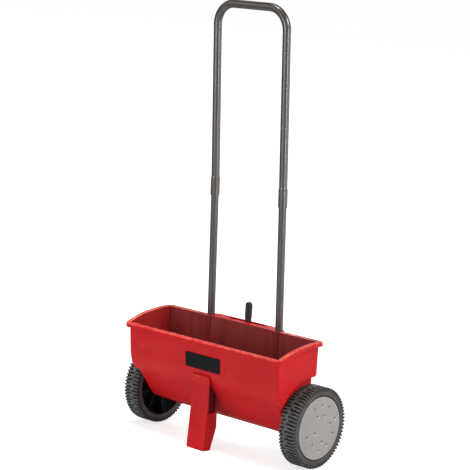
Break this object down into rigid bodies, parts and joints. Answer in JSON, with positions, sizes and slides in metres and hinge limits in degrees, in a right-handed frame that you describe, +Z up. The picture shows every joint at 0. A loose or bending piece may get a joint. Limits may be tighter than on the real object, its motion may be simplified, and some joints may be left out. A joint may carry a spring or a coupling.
{
  "type": "garden drop spreader",
  "caption": "Walk-behind drop spreader: long moulded hopper over an axle with two treaded wheels, a front parking foot, a dosing lever and slide, and a tall U-shaped tube handle.",
  "frame": {"origin": "on the ground, in the middle of the box around the whole spreader", "axes": "+X along the axle to the spreader's right side seen from its front, +Y towards the rear, +Z up"},
  "size_m": [0.5696, 0.245, 1.0995],
  "materials": {
    "red_plastic": "satin moulded",
    "tube_grey": "satin",
    "tyre_rubber": "matt",
    "wheel_black": "matt",
    "cap_grey": "fine satin",
    "plate_navy": "gloss",
    "lever_black": "matt",
    "zinc_steel": "zinc plated",
    "natural_plastic": "matt"
  },
  "bodies": {
    "spreader": {"hopper": "red_plastic", "front_foot": "red_plastic", "name_plate": "plate_navy", "upper_handle": "tube_grey", "lower_tube_left": "tube_grey", "lower_tube_right": "tube_grey", "lever_pivot_screw": "zinc_steel", "lever_washer": "zinc_steel", "axle_bush_left": "natural_plastic", "axle_bush_right": "natural_plastic", "foot_screw_left": "zinc_steel", "foot_screw_right": "zinc_steel", "socket_screw_left": "zinc_steel", "socket_screw_right": "zinc_steel", "joint_screw_left": "zinc_steel", "joint_screw_right": "zinc_steel"},
    "axle_set": {"axle": "zinc_steel", "agitator": "wheel_black", "agitator_pin": "zinc_steel", "drive_pin": "zinc_steel", "wheel_rim_right": "wheel_black", "tyre_right": "tyre_rubber", "hub_cap_right": "cap_grey", "hub_washer_left": "zinc_steel", "hub_washer_right": "zinc_steel", "axle_retainer_left": "zinc_steel", "axle_retainer_right": "zinc_steel"},
    "left_wheel": {"wheel_rim_left": "wheel_black", "tyre_left": "tyre_rubber", "hub_cap_left": "cap_grey"},
    "lever": {"dosing_lever": "lever_black"},
    "slide": {"dosing_slide": "natural_plastic"}
  },
  "joints": [
    {"name": "axle_turn", "type": "hinge", "parent": "spreader", "child": "axle_set", "pos_m": [0, 0.02264, 0.1], "axis": [1, 0, 0], "continuous": true},
    {"name": "left_wheel_turn", "type": "hinge", "parent": "axle_set", "child": "left_wheel", "pos_m": [-0.259, 0.02264, 0.1], "axis": [1, 0, 0], "continuous": true},
    {"name": "lever_swing", "type": "hinge", "parent": "spreader", "child": "lever", "pos_m": [0, 0.06405, 0.10553], "axis": [0, 0.9993, 0.0377], "range_deg": [-13, 13]},
    {"name": "slide_travel", "type": "slide", "parent": "spreader", "child": "slide", "axis": [1, 0, 0], "range_m": [-0.0037, 0.0037]}
  ],
  "couplings": [
    {"joint": "slide_travel", "follows": "lever_swing", "m_per_rad": -0.016}
  ]
}
